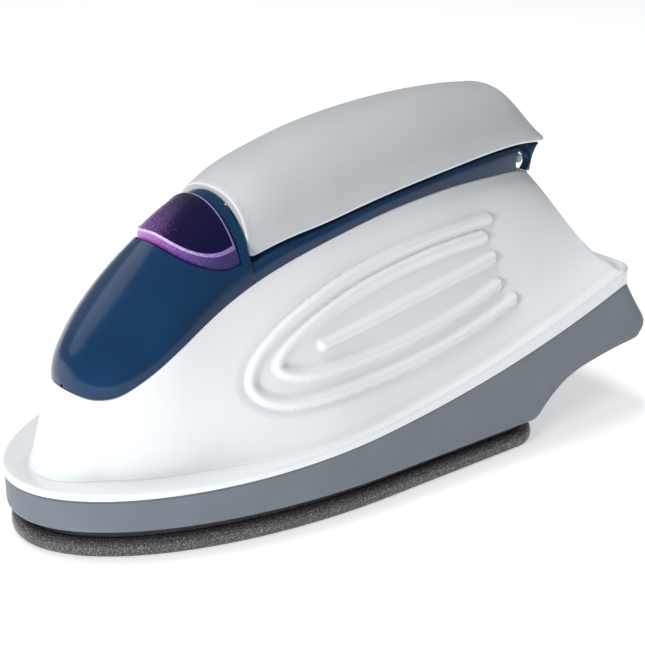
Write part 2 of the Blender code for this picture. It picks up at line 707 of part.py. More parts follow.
def main():
    for old in list(bpy.data.objects):
        bpy.data.objects.remove(old)
    white = material("white_gloss", (0.80, 0.83, 0.84), 0.22)
    grey = material("skirt_grey", (0.20, 0.23, 0.26), 0.55)
    sole = material("nonstick", (0.07, 0.07, 0.075), 0.5, 0.5)
    navy = material("navy_gloss", (0.005, 0.04, 0.14), 0.12)
    satin = material("grip_satin", (0.48, 0.51, 0.54), 0.42)
    purple = material("key_purple", (0.09, 0.02, 0.25), 0.2)
    steel = material("steel", (0.55, 0.55, 0.56), 0.35, 1.0)
    brass = material("brass", (0.70, 0.52, 0.25), 0.35, 1.0)
    ceramic = material("ceramic", (0.85, 0.82, 0.76), 0.6)
    black = material("black_plastic", (0.03, 0.03, 0.035), 0.5)
    glass = material("lamp_glass", (0.9, 0.5, 0.3), 0.1)
    aluminium = material("aluminium", (0.75, 0.76, 0.78), 0.4, 1.0)
    wire = material("silicone_lead", (0.75, 0.72, 0.65), 0.6)

    make_soleplate(sole)
    make_heater(steel, ceramic, brass)
    make_thermostat(steel, ceramic, brass)
    make_shield(aluminium, steel)
    make_skirt(grey)
    make_body(white)
    make_hood(navy)
    make_grip(satin)
    key = make_key(purple)
    make_switch(black, steel, glass)
    make_spring(steel)
    make_wiring(black, steel, brass, wire)
    swivel = make_swivel(black, steel)
    make_grip_screws(steel)
    set_origin(key, at(KEY_CENTRE, 0, KEY_HEIGHT))
    set_origin(bpy.data.objects["switch_plunger"], at(*key_point(STEM_FORWARD, 0, -12.3)))
    set_origin(swivel, at(*BALL))


main()
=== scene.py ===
"""Looks of the compact palm-grip clothes iron: fine outer pieces, materials, studio and camera.

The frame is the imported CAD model. Inside this file lengths are millimetres and a place along the
iron is a station, counted backwards from just ahead of the nose, as in the CAD source. at() turns
stations, side distances and heights into metres in the part's frame. The near side has y < 0.
"""
import json
import math

import bmesh
import bpy
import numpy as np
from mathutils import Matrix, Vector

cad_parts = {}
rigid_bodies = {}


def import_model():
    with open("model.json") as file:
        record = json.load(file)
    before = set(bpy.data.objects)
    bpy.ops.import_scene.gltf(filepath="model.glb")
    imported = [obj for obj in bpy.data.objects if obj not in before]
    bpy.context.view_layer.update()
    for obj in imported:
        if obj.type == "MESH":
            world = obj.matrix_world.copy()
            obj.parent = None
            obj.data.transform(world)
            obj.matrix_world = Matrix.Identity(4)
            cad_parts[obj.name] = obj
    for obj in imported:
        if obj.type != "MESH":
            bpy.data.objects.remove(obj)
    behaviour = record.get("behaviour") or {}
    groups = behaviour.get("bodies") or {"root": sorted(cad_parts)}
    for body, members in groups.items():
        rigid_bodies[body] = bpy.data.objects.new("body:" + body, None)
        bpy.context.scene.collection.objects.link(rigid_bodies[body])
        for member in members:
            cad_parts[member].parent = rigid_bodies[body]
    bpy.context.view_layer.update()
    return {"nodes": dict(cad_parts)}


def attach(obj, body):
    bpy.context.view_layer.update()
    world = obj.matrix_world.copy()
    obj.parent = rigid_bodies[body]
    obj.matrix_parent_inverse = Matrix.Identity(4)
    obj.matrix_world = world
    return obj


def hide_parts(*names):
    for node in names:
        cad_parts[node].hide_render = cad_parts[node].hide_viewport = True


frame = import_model()

MM = 0.001

# The CAD source's surfaces, millimetres --------------------------------------------------------
NOSE = 0.6
HEEL = 203.0
MIDDLE = (NOSE + HEEL) / 2
HALF_WIDTH = 44.8
SHOULDER = 94.5
GAP = 0.3

SOLE_NOSE = 2.0
SOLE_HEEL = 158.5
SOLE_CORNER = 12.0
SOLE_HALF = 44.0
SOLE_RIM_TOP = 5.0

SKIRT_WALL = 2.4
SKIRT_TAIL = [(0.0, 201.2), (0.06, 202.5), (0.17, 203.0), (0.36, 201.4), (0.68, 197.5), (1.0, 193.4)]
SKIRT_CORNER = [(0.0, 5.5), (0.17, 6.2), (1.0, 6.6)]
HEEL_RISE = [(151, 8.0), (152, 8.0), (153.6, 8.6), (156, 10.9), (159.5, 14.0), (165, 17.5), (171, 19.7),
             (178, 21.1), (186.5, 22.4), (196, 23.4), (201, 24.4)]
FLOOR_FRONT = 152.5

FLANGE_HALF = 45.2
FLANGE_TAIL = 193.8
FLANGE_CORNER = 7.0
RIM_LEVEL = 187.5
RIM_NOSE = 2.0
RIM_HEEL = 5.0
SHELL_WALL = 2.2

EDGE_Z = [(17, 41.5), (20, 40.8), (24.5, 42), (30.5, 46), (42.5, 54), (57.5, 62), (73.5, 67.5),
          (100.5, 73), (122.5, 76), (144.5, 77), (170.5, 75.5), (181, 73)]
EDGE_HALF = [(43, 21.6), (80, 19.8), (112, 18.4), (133, 17.4), (158, 15), (172, 12.4), (181, 10.2),
             (184, 10.8)]
EDGE_NOSE = 17.0
EDGE_SHOULDER = 43.0
EDGE_TAIL = 181.0
RIDGE_Z = [(17, 43.0), (18.5, 49.0), (21.5, 53.0), (25, 56.4), (29, 60.0), (34, 64.4), (40, 69.6),
           (47, 75.4), (57, 82.4), (67, 87.2)]
HOOD_ROUND = 1.95
HOOD_PLAN = 2.15
HOOD_WALL = 2.0
DECK_ROUND = 6.0
DECK_END = 183.4

GRIP_FRONT = 66.5
GRIP_TAIL = 184.0
GRIP_LOW = [(66, 71), (78, 74.3), (92, 76.5), (112, 80), (133, 82.6), (154, 84.2), (170, 84.2), (184, 82.5)]
GRIP_HALF = [(66, 17.3), (80, 18.6), (112, 19.3), (140, 18.6), (160, 16.6), (175, 14.2), (184, 12.6)]
GRIP_TOP = [(66, 88), (73, 92), (83, 95.4), (98, 99.1), (115, 101.5), (133, 102.7), (150, 102.7),
            (163, 101.8), (171, 99.8), (184, 85.4)]
GRIP_ROUND = 2.3
GRIP_WALL = 2.0
GRIP_CORNER = 2.6           # radius of its lower front corner
GRIP_EDGE = 0.8             # rounding of the grip's front and lower edges

KEY_BACK = 62.5
KEY_REACH = 15.2
KEY_HALF_SPAN = 19.0
KEY_ROUND = 2.6
KEY_CENTRE = (54.0, 80.4)   # station and height
KEY_TILT = math.radians(24)
KEY_PROUD = 1.4
KEY_LIFT = 0.1              # how much prouder the finished key stands than its CAD solid
KEY_TAPER = 1.2             # how far its wall leans in
KEY_DEPTH = 6.0
KEY_WALL = 1.6
STEM_FORWARD = -1.5
KEY_NORMAL = np.array((-math.sin(KEY_TILT), 0.0, math.cos(KEY_TILT)))

BALL = (176.8, 0.0, 77.6)
BALL_RADIUS = 4.1
PIN_RADIUS = 1.4

# Raised ribs on the body's side: two U shapes open to the rear, one in the other, and a straight one between
# their arms. A U's upper arm rises from its nose as a swelling curve. Its lower arm drops round a bend and
# then climbs towards the rear.
OUTER_RIB = {"nose": 59.4, "height": 40.3, "tail": 150.0, "rise": 27.0, "swell": 0.55,
             "drop": 6.6, "bend": 12.0, "climb": 11.8}
INNER_RIB = {"nose": 67.8, "height": 43.7, "tail": 146.0, "rise": 19.4, "swell": 0.65,
             "drop": 3.3, "bend": 10.0, "climb": 9.9}
CENTRE_RIB = [(82.0, 47.0), (147.0, 57.5)]
RIB_CLIMB_POWER = 2.4
RIM_EDGE = 0.7              # roundings of the rim, the skirt's lower and upper edges, and the key
SKIRT_EDGE = 1.3
SKIRT_TOP_EDGE = 0.5
KEY_EDGE = 0.45
RIB_PEAK = 0.5              # its crest stands this far outside a rib's line
RIB_OUTER = 1.5             # steep outer flank and gentle inner flank
RIB_INNER = 3.0
RIB_RISE = 1.5
DISH_DEPTH = 0.9
DISH_SLOPE = 4.0


# Curves ----------------------------------------------------------------------------------------
def at(station, side, height):
    """Points in metres, stacked on the last axis, from millimetres along the iron."""
    station, side, height = np.broadcast_arrays(station, side, height)
    return np.stack(((station - MIDDLE) * MM, side * MM, height * MM), axis=-1).astype(float)


def value(keys, x):
    """Smooth curve through (station, value) pairs, held level past both ends."""
    s = np.array([k[0] for k in keys], float)
    v = np.array([k[1] for k in keys], float)
    x = np.clip(x, s[0], s[-1])
    i = np.clip(np.searchsorted(s, x, side="left") - 1, 0, len(s) - 2)
    before = np.maximum(i - 1, 0)
    after = np.minimum(i + 2, len(s) - 1)
    span = s[i + 1] - s[i]
    t = (x - s[i]) / span
    slope0 = (v[i + 1] - v[before]) / (s[i + 1] - s[before]) * span
    slope1 = (v[after] - v[i]) / (s[after] - s[i]) * span
    return ((2 * t ** 3 - 3 * t ** 2 + 1) * v[i] + (t ** 3 - 2 * t ** 2 + t) * slope0
            + (3 * t ** 2 - 2 * t ** 3) * v[i + 1] + (t ** 3 - t ** 2) * slope1)


def ramp(x, start, end):
    """0 before start, 1 after end, smooth between."""
    t = np.clip((x - start) / (end - start), 0.0, 1.0)
    return t * t * (3 - 2 * t)


def rim_line(station):
    return 17.5 + 9.9 * ((np.minimum(station, RIM_LEVEL) + 12.0) / 143.0) ** 2.85


def rim_height(station):
    return RIM_NOSE + (RIM_HEEL - RIM_NOSE) * ramp(station, 60, 190)


def ledge_width(station):
    front = 7.0 + 2.5 * ramp(station, 2, 14) - 6.1 * ramp(station, 38, 84)
    return front - 0.4 * ramp(station, 140, 186) + 1.4 * ramp(station, 187, 193)


def edge_half(station):
    """Half width of the seam between body and hood."""
    reach = np.clip((EDGE_SHOULDER - station) / (EDGE_SHOULDER - EDGE_NOSE), 0.0, 1.0)
    front = EDGE_HALF[0][1] * (1 - reach ** HOOD_PLAN) ** (1 / HOOD_PLAN)
    return np.where(station < EDGE_SHOULDER, front, value(EDGE_HALF, station))


def outline_steps(front, side, bend, back):
    """Outline parameters: 0-14 round the front, 14-20 along the side, 20-25 the corner, 25-26 the back."""
    return np.concatenate([front, side, np.linspace(20, 25, bend, endpoint=False), np.linspace(25, 26, back)])


def plan(u, nose, tail, half, corner):
    """Near half of an iron's outline at parameters u."""
    front = np.pi / 2 * np.clip(u, 0, 14) / 14
    side = np.clip(u - 14, 0, 6) / 6
    bend = np.pi / 2 * np.clip(u - 20, 0, 5) / 5
    back = np.clip(u - 25, 0, 1)
    s = SHOULDER - (SHOULDER - nose) * np.cos(front)
    s = s + (tail - corner - SHOULDER) * side + corner * np.sin(bend)
    y = -half * np.sin(front) + corner * (1 - np.cos(bend)) + (half - corner) * back
    return s, y


def inset(u, s, y, amount):
    """Outline moved inwards along its own normals."""
    ds = np.gradient(s, u)
    dy = np.gradient(y, u)
    ds[0] = 0.0
    length = np.hypot(ds, dy)
    return s - dy / length * amount, np.minimum(y + ds / length * amount, 0.0)


def smooth_points(points, step=0.8):
    """Catmull-Rom curve through points, sampled about every step."""
    knots = np.array(points, float)
    made = []
    for i in range(len(knots) - 1):
        a = knots[max(i - 1, 0)]
        b = knots[i]
        c = knots[i + 1]
        d = knots[min(i + 2, len(knots) - 1)]
        count = max(int(np.linalg.norm(c - b) / step), 1)
        for k in range(count):
            t = k / count
            made.append(0.5 * (2 * b + (c - a) * t + (2 * a - 5 * b + 4 * c - d) * t * t
                               + (3 * b - a - 3 * c + d) * t ** 3))
    made.append(knots[-1])
    return np.array(made)


def u_rib(nose, height, tail, rise, swell, drop, bend, climb):
    """Middle line of a U rib on (station, height), from the tip of its upper arm round to its lower tip."""
    reach = np.linspace(0, 1, 25) ** 2
    station = nose + (tail - nose) * reach
    upper = height + rise * (1 - (1 - reach) ** 2) ** swell
    turn = np.minimum((station - nose) / bend, 1.0)
    lower = height - drop * np.sqrt(1 - (1 - turn) ** 2) + climb * reach ** RIB_CLIMB_POWER
    return list(zip(station[::-1], upper[::-1])) + list(zip(station[1:], lower[1:]))


# Mesh tools ------------------------------------------------------------------------------------
def mesh_object(name, parts, finishes, smooth=40):
    """Object from (points, faces) parts, merged, with outward normals and sharp edges over an angle.

    A part may name as its third item which of the finishes it has, or one for each face.
    """
    work = bmesh.new()
    for points, faces, *index in parts:
        made = [work.verts.new(p) for p in points]
        chosen = index[0] if index else 0
        if isinstance(chosen, int):
            chosen = [chosen] * len(faces)
        for face, finish in zip(faces, chosen):
            corners = list(dict.fromkeys(face))
            if len(corners) > 2:
                work.faces.new([made[i] for i in corners]).material_index = finish
    bmesh.ops.remove_doubles(work, verts=work.verts, dist=0.000002)
    bmesh.ops.dissolve_degenerate(work, edges=work.edges, dist=0.000002)
    bmesh.ops.recalc_face_normals(work, faces=work.faces)
    mesh = bpy.data.meshes.new(name)
    work.to_mesh(mesh)
    work.free()
    piece = bpy.data.objects.new(name, mesh)
    bpy.context.scene.collection.objects.link(piece)
    for finish in finishes:
        mesh.materials.append(finish)
    mesh.shade_smooth()
    mesh.set_sharp_from_angle(angle=math.radians(smooth))
    return piece


def ring_part(rings, wrap_rings=False, cap_start=False, cap_end=False):
    """Points and quads of a stack of equal rings (rings x points x 3)."""
    rings = np.asarray(rings)
    rows, count = rings.shape[:2]
    faces = []
    for r in range(rows if wrap_rings else rows - 1):
        low = r * count
        high = (r + 1) % rows * count
        for i in range(count):
            j = (i + 1) % count
            faces.append((low + i, low + j, high + j, high + i))
    if cap_start:
        faces.append(tuple(range(count)))
    if cap_end:
        faces.append(tuple(range((rows - 1) * count, rows * count)))
    return rings.reshape(-1, 3), faces


def mirrored(near):
    """Closed rings from near halves that run from the centre line round to the centre line again."""
    far = near[:, ::-1] * np.array((1.0, -1.0, 1.0))
    return np.concatenate([near, far[:, 1:-1]], axis=1)


def shell_ends(stack, outer_count):
    """Quads that close a hollow section's ring between its outer and inner lines, at both ends."""
    rows, count = stack.shape[:2]
    faces = []
    for row in (0, rows - 1):
        start = row * count
        for i in range(outer_count - 1):
            faces.append((start + i, start + i + 1, start + count - 2 - i, start + count - 1 - i))
    return faces


def turned(base, direction, profile, sides=48):
    """Solid of revolution as a part. profile lists (distance along direction, radius)."""
    axis = Vector(direction).normalized()
    spin = Vector((0, 0, 1)).rotation_difference(axis).to_matrix()
    centre = Vector(at(*base))
    rings = []
    for reach, radius in profile:
        ring = []
        for i in range(sides):
            angle = 2 * math.pi * i / sides
            ring.append(centre + spin @ Vector((max(radius, 1e-4) * math.cos(angle),
                                                max(radius, 1e-4) * math.sin(angle), reach)) * MM)
        rings.append([tuple(p) for p in ring])
    return ring_part(rings, cap_start=True, cap_end=True)


def cut(piece, cutters, smooth=35):
    """Takes the cutters' solids out of a piece and removes them."""
    group = bpy.data.collections.new("cutters")
    for index, part in enumerate(cutters):
        tool = mesh_object("cutter_%d" % index, [part], [])
        bpy.context.scene.collection.objects.unlink(tool)
        group.objects.link(tool)
    step = piece.modifiers.new("cut", "BOOLEAN")
    step.operation = "DIFFERENCE"
    step.solver = "EXACT"
    step.operand_type = "COLLECTION"
    step.collection = group
    graph = bpy.context.evaluated_depsgraph_get()
    result = bpy.data.meshes.new_from_object(piece.evaluated_get(graph), depsgraph=graph)
    piece.modifiers.remove(step)
    finish = piece.data.materials[0]
    piece.data = result
    result.materials.clear()
    result.materials.append(finish)
    result.polygons.foreach_set("material_index", [0] * len(result.polygons))
    for tool in list(group.objects):
        bpy.data.objects.remove(tool)
    bpy.data.collections.remove(group)
    result.shade_smooth()
    result.set_sharp_from_angle(angle=math.radians(smooth))
    return piece


def stand_for(piece, node, body="iron"):
    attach(piece, body)
    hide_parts(node)
    return piece


# Materials -------------------------------------------------------------------------------------
def new_material(name):
    made = bpy.data.materials.new(name)
    made.use_nodes = True
    tree = made.node_tree
    return made, tree, tree.nodes["Principled BSDF"]


def add_noise(tree, scale, detail=3.0, stretch=(1, 1, 1)):
    coords = tree.nodes.new("ShaderNodeTexCoord")
    mapping = tree.nodes.new("ShaderNodeMapping")
    mapping.inputs["Scale"].default_value = stretch
    tree.links.new(coords.outputs["Object"], mapping.inputs["Vector"])
    noise = tree.nodes.new("ShaderNodeTexNoise")
    noise.inputs["Scale"].default_value = scale
    noise.inputs["Detail"].default_value = detail
    tree.links.new(mapping.outputs["Vector"], noise.inputs["Vector"])
    return noise.outputs["Fac"]


def add_ramp(tree, source, stops):
    node = tree.nodes.new("ShaderNodeValToRGB")
    line = node.color_ramp
    while len(line.elements) < len(stops):
        line.elements.new(0.5)
    for element, (place, colour) in zip(line.elements, stops):
        element.position = place
        element.color = (*colour, 1.0)
    tree.links.new(source, node.inputs["Fac"])
    return node.outputs["Color"]


def add_range(tree, source, low, high):
    node = tree.nodes.new("ShaderNodeMapRange")
    node.inputs["From Min"].default_value = 0.3
    node.inputs["From Max"].default_value = 0.7
    node.inputs["To Min"].default_value = low
    node.inputs["To Max"].default_value = high
    tree.links.new(source, node.inputs["Value"])
    return node.outputs["Result"]


def add_bump(tree, shader, source, strength, distance):
    node = tree.nodes.new("ShaderNodeBump")
    node.inputs["Strength"].default_value = strength
    node.inputs["Distance"].default_value = distance
    tree.links.new(source, node.inputs["Height"])
    tree.links.new(node.outputs["Normal"], shader.inputs["Normal"])


def moulded(name, colour, roughness, spread=0.05, patch=60, grain=3000, relief=0.1, depth=0.00005,
            metallic=0.0, coat=0.0, coat_roughness=0.05, specular=0.5, stretch=(1, 1, 1)):
    """Plastic, ceramic, rubber or metal with faint mottling, uneven roughness and a fine surface grain."""
    made, tree, shader = new_material(name)
    dark = [c * (1 - spread) for c in colour]
    light = [min(c * (1 + spread), 1.0) for c in colour]
    patches = add_noise(tree, patch, 4.0, stretch)
    tree.links.new(add_ramp(tree, patches, [(0.35, dark), (0.65, light)]), shader.inputs["Base Color"])
    fine = add_noise(tree, grain, 2.0, stretch)
    uneven = add_range(tree, fine, roughness * 0.85, min(roughness * 1.15, 1.0))
    tree.links.new(uneven, shader.inputs["Roughness"])
    add_bump(tree, shader, fine, relief, depth)
    shader.inputs["Metallic"].default_value = metallic
    shader.inputs["Coat Weight"].default_value = coat
    shader.inputs["Coat Roughness"].default_value = coat_roughness
    shader.inputs["Specular IOR Level"].default_value = specular
    return made


def nonstick_coat(name, painted_shade_dimming=1.0):
    """Dark plate coat with bright mineral specks. Its dimming factor darkens every colour, for painted shade.
    """
    made, tree, shader = new_material(name)
    specks = add_noise(tree, 2600, 2.0)
    patches = add_noise(tree, 120, 3.0)
    stops = [(0.30, (0.035, 0.035, 0.038)), (0.50, (0.09, 0.092, 0.096)), (0.64, (0.20, 0.20, 0.21)),
             (0.76, (0.60, 0.61, 0.64))]
    base = add_ramp(tree, specks, [(place, [c * painted_shade_dimming for c in colour]) for place, colour in stops])
    tree.links.new(base, shader.inputs["Base Color"])
    tree.links.new(add_range(tree, patches, 0.30, 0.46), shader.inputs["Roughness"])
    shader.inputs["Metallic"].default_value = 0.45
    add_bump(tree, shader, specks, 0.35, 0.0001)
    return made


def tinted_plastic_painted_highlight(name, stops, roughness, relief, specular, side_glow=0.0):
    """Tinted translucent plastic with a sparkling moulded grain and a painted highlight: colour and grain
    turn paler towards its front and far side.
    """
    made, tree, shader = new_material(name)
    grain = add_noise(tree, 1900, 4.0)
    # The slope term is the painted highlight: it lifts colour and grain towards the front (-x) and far side
    # (+y).
    coords = tree.nodes.new("ShaderNodeTexCoord")
    slope = tree.nodes.new("ShaderNodeVectorMath")
    slope.operation = "DOT_PRODUCT"
    slope.inputs[1].default_value = (-26.0, 26.0, 0.0)
    tree.links.new(coords.outputs["Object"], slope.inputs[0])
    shift = tree.nodes.new("ShaderNodeMath")
    shift.operation = "MULTIPLY_ADD"
    shift.inputs[1].default_value = 0.95
    tree.links.new(grain, shift.inputs[0])
    tree.links.new(slope.outputs["Value"], shift.inputs[2])
    level = tree.nodes.new("ShaderNodeMath")
    level.operation = "SUBTRACT"
    level.inputs[1].default_value = 1.25
    tree.links.new(shift.outputs[0], level.inputs[0])
    tree.links.new(add_ramp(tree, level.outputs[0], stops), shader.inputs["Base Color"])
    tree.links.new(add_range(tree, grain, roughness * 0.8, roughness * 1.25), shader.inputs["Roughness"])
    shader.inputs["Specular IOR Level"].default_value = specular
    shader.inputs["Subsurface Weight"].default_value = side_glow
    shader.inputs["Subsurface Radius"].default_value = (0.8, 0.3, 1.0)
    shader.inputs["Subsurface Scale"].default_value = 0.002
    add_bump(tree, shader, grain, relief, 0.00015)
    return made


WHITE = moulded("white_moulding", (0.80, 0.83, 0.845), 0.20, spread=0.012, patch=35, grain=260, relief=0.05,
                depth=0.00006, coat=0.5, coat_roughness=0.06)
SKIRT = moulded("grey_moulding", (0.145, 0.172, 0.200), 0.52, spread=0.05, patch=90, grain=3600, relief=0.3,
                depth=0.00006)
NAVY = moulded("navy_moulding", (0.002, 0.029, 0.082), 0.16, spread=0.12, patch=50, grain=1800, relief=0.05,
               depth=0.00004, specular=0.36)
SATIN = moulded("satin_moulding", (0.52, 0.545, 0.565), 0.42, spread=0.02, patch=60, grain=3200, relief=0.15,
                depth=0.00004, coat=0.15, coat_roughness=0.25)
# Pale copy of the grip's grey for its front and lower edges: a painted highlight.
GRIP_PAINTED_HIGHLIGHT = moulded("painted_highlight_edge", (0.78, 0.81, 0.82), 0.22, spread=0.02, patch=60, grain=900, relief=0.03,
                    coat=0.5)
PLATE = nonstick_coat("nonstick_coat")
# The sole's upper part, inside the gap under the skirt, in the coat at about a fifth of its brightness:
# painted shade.
PLATE_PAINTED_SHADE = nonstick_coat("nonstick_painted_shade", 0.22)
# The key's top: dark indigo, pale only where the painted highlight lifts it.
KEY = tinted_plastic_painted_highlight("tinted_top_painted_highlight", [(0.0, (0.003, 0.003, 0.035)), (0.45, (0.006, 0.003, 0.030)),
                                    (0.72, (0.10, 0.03, 0.18)), (1.0, (0.42, 0.15, 0.50))], 0.25, 0.55, 0.22)
# The key's frosted wall, in a paler copy of the same plastic: painted light on the wall.
KEY_SIDE_PAINTED_LIGHT = tinted_plastic_painted_highlight("tinted_side_painted_light", [(0.0, (0.03, 0.02, 0.12)), (0.35, (0.14, 0.05, 0.30)),
                                          (0.7, (0.42, 0.14, 0.50))], 0.35, 0.6, 0.4, 0.3)
# The rounded edge between the key's wall and top, much paler again: a painted highlight.
KEY_PAINTED_HIGHLIGHT = tinted_plastic_painted_highlight("painted_highlight_rim", [(0.0, (0.24, 0.17, 0.42)), (0.5, (0.60, 0.45, 0.72))],
                         0.25, 0.2, 0.8, 0.2)
STEEL = moulded("plain_steel", (0.55, 0.55, 0.56), 0.34, spread=0.08, patch=200, grain=2500, relief=0.12,
                metallic=1.0, stretch=(1, 1, 6))
BRASS = moulded("plain_brass", (0.70, 0.52, 0.25), 0.34, spread=0.10, patch=200, grain=2500, relief=0.12,
                metallic=1.0, stretch=(1, 6, 1))
CERAMIC = moulded("unglazed_ceramic", (0.85, 0.82, 0.76), 0.62, spread=0.05, patch=300, grain=2200,
                  relief=0.3)
BLACK = moulded("black_moulding", (0.03, 0.03, 0.035), 0.48, spread=0.15, patch=150, grain=2600, relief=0.25)
GLASS = moulded("amber_lens", (0.90, 0.50, 0.30), 0.12, spread=0.06, patch=200, grain=900, relief=0.05,
                coat=0.5)
SHEET = moulded("rolled_aluminium", (0.75, 0.76, 0.78), 0.38, spread=0.06, patch=120, grain=1800, relief=0.15,
                metallic=1.0, stretch=(0.15, 1, 1))
LEAD = moulded("silicone_sleeve", (0.75, 0.72, 0.65), 0.58, spread=0.05, patch=250, grain=2000, relief=0.2)

NODE_FINISHES = {"steel": STEEL, "brass": BRASS, "ceramic": CERAMIC, "black_plastic": BLACK,
                 "lamp_glass": GLASS, "aluminium": SHEET, "silicone_lead": LEAD}


# Body shell ------------------------------------------------------------------------------------
def body_columns():
    """Outline parameters of the body's columns, closer together where the ribs are."""
    front = np.concatenate([np.linspace(0, 9.6, 44, endpoint=False),
                            np.linspace(9.6, 14, 86, endpoint=False)])
    side = np.concatenate([np.linspace(14, 18.1, 120, endpoint=False),
                           np.linspace(18.1, 20, 24, endpoint=False)])
    return outline_steps(front, side, 26, 10)


def body_sides(u, wall, shares):
    """Rows of the body's side (or of its inner face, wall inside), from its foot up to the seam."""
    rim_s, rim_y = plan(u, NOSE, FLANGE_TAIL, FLANGE_HALF, FLANGE_CORNER)
    foot_s, foot_y = inset(u, rim_s, rim_y, ledge_width(rim_s) + wall)
    tail = np.interp(20.0, u, foot_s)
    reach = (foot_s - foot_s[0]) / (tail - foot_s[0])
    seam_s = EDGE_NOSE + wall + (EDGE_TAIL - 2.5 - EDGE_NOSE - wall) * reach
    seam_y = -np.maximum(edge_half(seam_s - wall) - wall, 0.0)
    turn = np.pi / 2 * np.clip(u - 20, 0, 5) / 5
    back = np.clip(u - 25, 0, 1)
    corner_y = -edge_half(EDGE_TAIL) + wall + 2.5 * (1 - np.cos(turn))
    seam_s = np.where(u > 20, EDGE_TAIL - 2.5 + (2.5 - wall) * np.sin(turn), seam_s)
    seam_y = np.where(u > 20, corner_y * (1 - back), seam_y)
    rear = ramp(u, 18, 24)
    foot_z = rim_line(foot_s) + GAP + rim_height(foot_s)
    seam_z = value(EDGE_Z, seam_s) - GAP / 2
    start = np.stack((foot_s, foot_y, foot_z), axis=-1)
    end = np.stack((seam_s, seam_y, seam_z), axis=-1)
    across = (end - start) * np.array((1, 1, 0))
    rise = (end - start) * np.array((0, 0, 1))
    lean = rear[:, None]
    first = start + across * (0.34 + 0.26 * lean) + rise * (0.22 - 0.07 * lean)
    second = end - across * (0.5 - 0.45 * lean) - rise * (0.35 + 0.1 * lean)
    t = np.asarray(shares)[:, None, None]
    return start * (1 - t) ** 3 + first * 3 * t * (1 - t) ** 2 + second * 3 * t * t * (1 - t) + end * t ** 3


def nearest_distance(points, line):
    """Distance from each point to a polyline, and where it falls along the line from 0 to 1."""
    a = line[:-1]
    ab = line[1:] - a
    size = (ab ** 2).sum(-1)
    best = np.full(len(points), 1e9)
    place = np.zeros(len(points))
    for k in range(len(a)):
        t = np.clip(((points - a[k]) @ ab[k]) / size[k], 0, 1)
        gap = np.linalg.norm(points - a[k] - t[:, None] * ab[k], axis=1)
        closer = gap < best
        best = np.where(closer, gap, best)
        place = np.where(closer, (k + t) / len(a), place)
    return best, place


def inside(points, loop):
    """Even-odd test of plane points against a closed loop."""
    x, y = points[:, 0], points[:, 1]
    found = np.zeros(len(points), bool)
    for (x0, y0), (x1, y1) in zip(loop, np.roll(loop, -1, axis=0)):
        crosses = (y0 > y) != (y1 > y)
        if y0 != y1:
            found ^= crosses & (x < (x1 - x0) * (y - y0) / (y1 - y0) + x0)
    return found


def on_surface(line, flat, surface):
    """A (station, height) line lifted onto the body's side by planes fitted to its nearest surface points."""
    lifted = []
    for point in line:
        near = np.argpartition(((flat - point) ** 2).sum(1), 16)[:16]
        terms = np.column_stack((np.ones(16), flat[near] - point))
        side = np.linalg.lstsq(terms, surface[near, 1], rcond=None)[0][0]
        lifted.append((point[0], side, point[1]))
    return np.array(lifted)


def rib_relief(rows):
    """How far each point of the body's side stands out (mm): ribs up, the shallow dish round them down."""
    surface = rows.reshape(-1, 3)
    flat = surface[:, [0, 2]]
    zone = (flat[:, 0] > 48) & (flat[:, 0] < 160)
    points = surface[zone]
    relief = np.zeros(len(points))
    for rib in (OUTER_RIB, INNER_RIB, CENTRE_RIB):
        path = smooth_points(rib if rib is CENTRE_RIB else u_rib(**rib))
        line = on_surface(path, flat[zone], points)
        gap, place = nearest_distance(points, line)
        loop = path if rib is not CENTRE_RIB else np.concatenate([path, [(150, 90), (70, 90)]])
        within = inside(points[:, [0, 2]], loop)
        reach = np.where(within, -gap, gap) - RIB_PEAK
        steep = np.clip(1 - (np.maximum(reach, 0) / RIB_OUTER) ** 2, 0, 1) ** 0.85
        gentle = 1 - ramp(-reach, 0.2, RIB_INNER)
        bead = np.where(reach > 0, steep, gentle)
        tip = np.minimum(place, 1 - place) * len(line) * 0.8
        bead = bead * np.where(tip < 0.1, np.clip(1 - (gap / 2.0) ** 2, 0, 1) ** 0.85, 1.0)
        relief = np.maximum(relief, RIB_RISE * bead)
        if rib is OUTER_RIB:
            depth = np.where(within, 1.0, 1 - ramp(gap, 1.2, 1.2 + DISH_SLOPE))
    depth = depth * (1 - ramp(points[:, 0], 84, 126))
    made = np.zeros(len(surface))
    made[zone] = relief - DISH_DEPTH * depth
    return made.reshape(rows.shape[:2])


